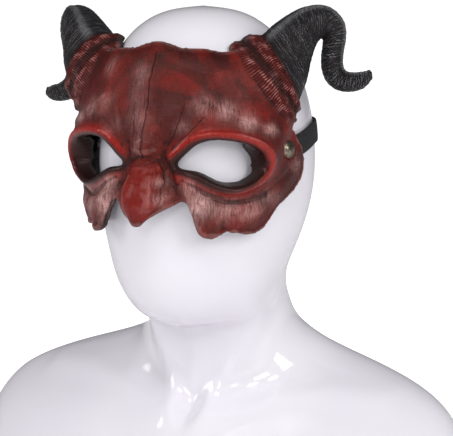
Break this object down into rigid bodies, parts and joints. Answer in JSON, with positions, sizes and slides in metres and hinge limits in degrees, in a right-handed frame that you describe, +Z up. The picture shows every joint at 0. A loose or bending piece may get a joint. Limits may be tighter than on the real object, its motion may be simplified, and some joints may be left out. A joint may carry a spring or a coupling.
{
  "type": "horned half mask on display bust",
  "caption": "Cast foam half mask with hooked nose, open eye holes and two curled horns, strapped round a glossy featureless display bust with a flat base.",
  "frame": {"origin": "middle of the bust's flat underside", "axes": "+Z up through the crown of the head, -Y the way the face looks, +X towards the wearer's left"},
  "size_m": [0.402, 0.2272, 0.3603],
  "materials": {
    "foam_red": "painted flexible foam, satin",
    "bust_gloss": "high gloss",
    "elastic_black": "woven elastic",
    "rivet_metal": "worn plating"
  },
  "bodies": {
    "root": {"mask": "foam_red", "mannequin_bust": "bust_gloss", "elastic_strap": "elastic_black", "rivet_left": "rivet_metal", "rivet_right": "rivet_metal"}
  },
  "joints": []
}
